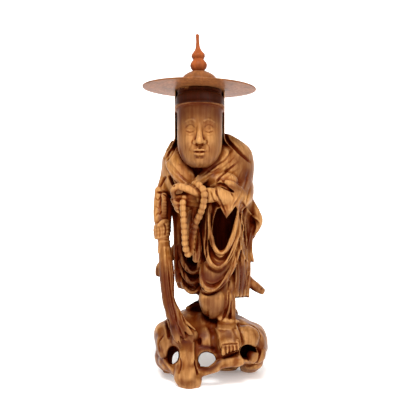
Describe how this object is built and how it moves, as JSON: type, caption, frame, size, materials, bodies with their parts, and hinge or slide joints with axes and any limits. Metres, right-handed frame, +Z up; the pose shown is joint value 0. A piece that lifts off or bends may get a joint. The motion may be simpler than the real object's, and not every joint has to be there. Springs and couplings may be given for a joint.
{
  "type": "carved wooden figure",
  "caption": "Carved wooden standing figure in a long robe and wide round hat, holding a string of beads and a long-haired whisk, on a pierced gnarled root base.",
  "frame": {"origin": "centre of the bounding box at the surface the feet of the root stand on", "axes": "+Z up, the figure faces -Y, its left hand is on the +X side"},
  "size_m": [0.1398, 0.128, 0.3813],
  "materials": {
    "carved_wood": "satin varnish over stained carving",
    "hat_wood": "satin varnish, turned",
    "finial_wood": "satin varnish, turned, redder"
  },
  "bodies": {
    "root": {"figure_and_root": "carved_wood", "hat": "hat_wood", "hat_finial": "finial_wood"}
  },
  "joints": []
}
